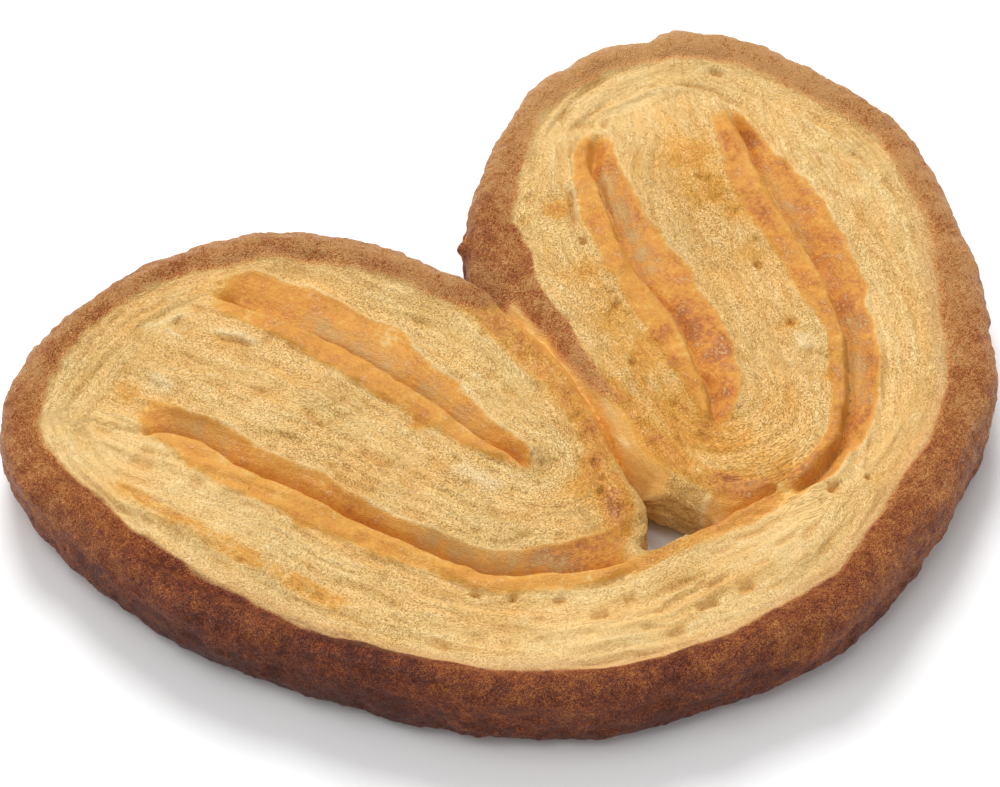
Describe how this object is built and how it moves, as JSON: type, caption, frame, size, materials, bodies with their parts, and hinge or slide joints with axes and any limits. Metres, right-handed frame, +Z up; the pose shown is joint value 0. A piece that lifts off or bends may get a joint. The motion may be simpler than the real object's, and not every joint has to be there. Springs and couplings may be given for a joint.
{
  "type": "palmier pastry",
  "caption": "Heart-shaped slice of rolled puff pastry with a browned sugar crust, two folded lobes and a small gap between them, lying flat.",
  "frame": {"origin": "middle of the pastry's bounding box, on the surface it lies on", "axes": "+Z up, out of the flat underside; +Y towards the cleft between the lobes; +X towards the larger lobe, along the longest side"},
  "size_m": [0.1203, 0.093, 0.0116],
  "materials": {
    "baked_pastry": "baked, layered, lightly glazed"
  },
  "bodies": {
    "root": {"palmier": "baked_pastry"}
  },
  "joints": []
}
